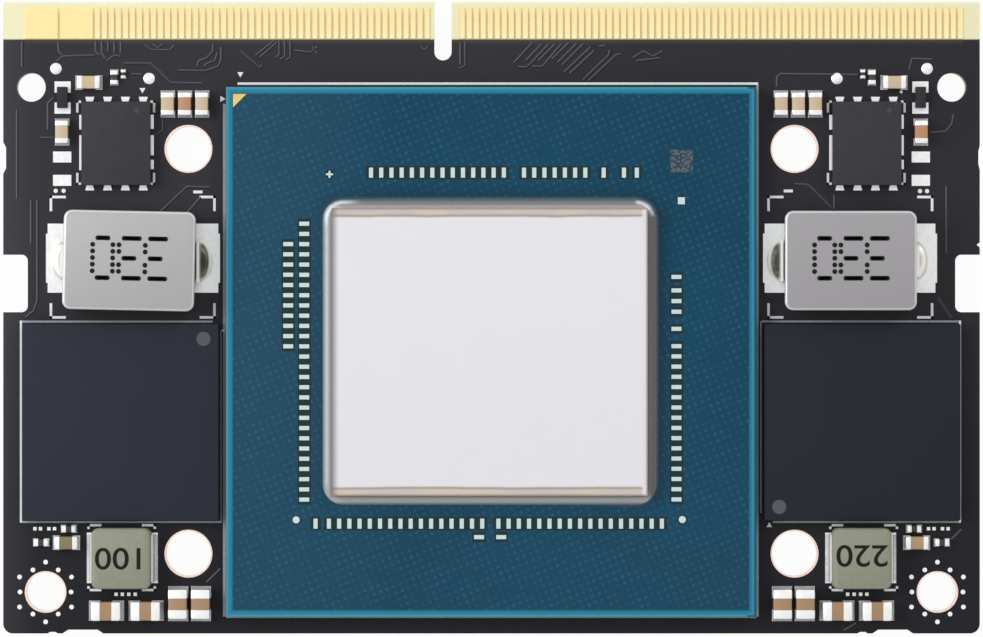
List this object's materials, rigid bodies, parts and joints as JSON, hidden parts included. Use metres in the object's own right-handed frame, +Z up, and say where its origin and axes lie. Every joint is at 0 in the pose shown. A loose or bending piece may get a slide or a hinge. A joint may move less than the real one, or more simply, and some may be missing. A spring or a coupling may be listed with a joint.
{
  "type": "system on module",
  "caption": "Rectangular compute board with a keyed gold edge connector, a square processor with an exposed die, memory packages and power inductors beside it, and screw holes.",
  "frame": {"origin": "middle of the board's outline, on the surface that the module lies on, components upwards", "axes": "+X along the connector edge, +Y towards the connector edge, +Z up out of the component side"},
  "size_m": [0.0696, 0.045, 0.0053],
  "materials": {
    "board_laminate": "dark solder mask on glass laminate",
    "hole_copper": "plated copper",
    "contact_gold": "bright gold plating",
    "tin_solder": "bright tin and solder",
    "processor_laminate": "teal solder mask",
    "die_silicon": "polished silicon",
    "underfill_resin": "glossy grey epoxy",
    "memory_compound": "fine matt moulding compound",
    "memory_laminate": "thin green laminate",
    "mould_compound": "matt moulding compound",
    "inductor_iron": "grey coated pressed iron powder",
    "inductor_ferrite": "grey-green pressed ferrite",
    "tan_ceramic": "tan capacitor ceramic with tinned ends",
    "orange_ceramic": "orange-brown capacitor ceramic with tinned ends",
    "olive_ceramic": "olive-brown capacitor ceramic with tinned ends",
    "resistor_ceramic": "dark coated ceramic with tinned ends"
  },
  "bodies": {
    "root": {"circuit_board": "board_laminate", "hole_liners": "hole_copper", "upper_edge_contacts": "contact_gold", "lower_edge_contacts": "contact_gold", "solder_pads": "tin_solder", "underside_pads": "tin_solder", "stitching_vias": "tin_solder", "test_points": "tin_solder", "processor_substrate": "processor_laminate", "processor_die": "die_silicon", "processor_underfill": "underfill_resin", "processor_solder_balls": "tin_solder", "processor_lands": "tin_solder", "processor_pin_one_mark": "contact_gold", "chip_resistors": "resistor_ceramic", "boot_flash": "mould_compound", "underside_capacitors": "olive_ceramic", "left_memory_mould": "memory_compound", "left_memory_substrate": "memory_laminate", "left_memory_solder_balls": "tin_solder", "left_power_inductor_core": "inductor_iron", "left_power_inductor_inner_terminal": "tin_solder", "left_power_inductor_outer_terminal": "tin_solder", "left_power_stage_mould": "mould_compound", "left_power_stage_leadframe": "tin_solder", "left_step_down_inductor_core": "inductor_ferrite", "left_step_down_inductor_terminals": "tin_solder", "left_suppressor": "mould_compound", "left_input_capacitor_1": "tan_ceramic", "left_input_capacitor_2": "orange_ceramic", "left_input_capacitor_3": "tan_ceramic", "left_driver_capacitor": "tan_ceramic", "left_outer_capacitor": "tan_ceramic", "left_rail_capacitor": "olive_ceramic", "left_rear_capacitor_1": "orange_ceramic", "left_rear_capacitor_2": "orange_ceramic", "left_rear_capacitor_3": "orange_ceramic", "left_rear_capacitor_4": "orange_ceramic", "right_memory_mould": "memory_compound", "right_memory_substrate": "memory_laminate", "right_memory_solder_balls": "tin_solder", "right_power_inductor_core": "inductor_iron", "right_power_inductor_inner_terminal": "tin_solder", "right_power_inductor_outer_terminal": "tin_solder", "right_power_stage_mould": "mould_compound", "right_power_stage_leadframe": "tin_solder", "right_step_down_inductor_core": "inductor_ferrite", "right_step_down_inductor_terminals": "tin_solder", "right_suppressor": "mould_compound", "right_input_capacitor_1": "tan_ceramic", "right_input_capacitor_2": "tan_ceramic", "right_input_capacitor_3": "tan_ceramic", "right_driver_capacitor": "tan_ceramic", "right_outer_capacitor": "orange_ceramic", "right_rail_capacitor": "tan_ceramic", "right_rear_capacitor_1": "orange_ceramic", "right_rear_capacitor_2": "orange_ceramic", "right_rear_capacitor_3": "orange_ceramic", "right_rear_capacitor_4": "orange_ceramic"}
  },
  "joints": []
}
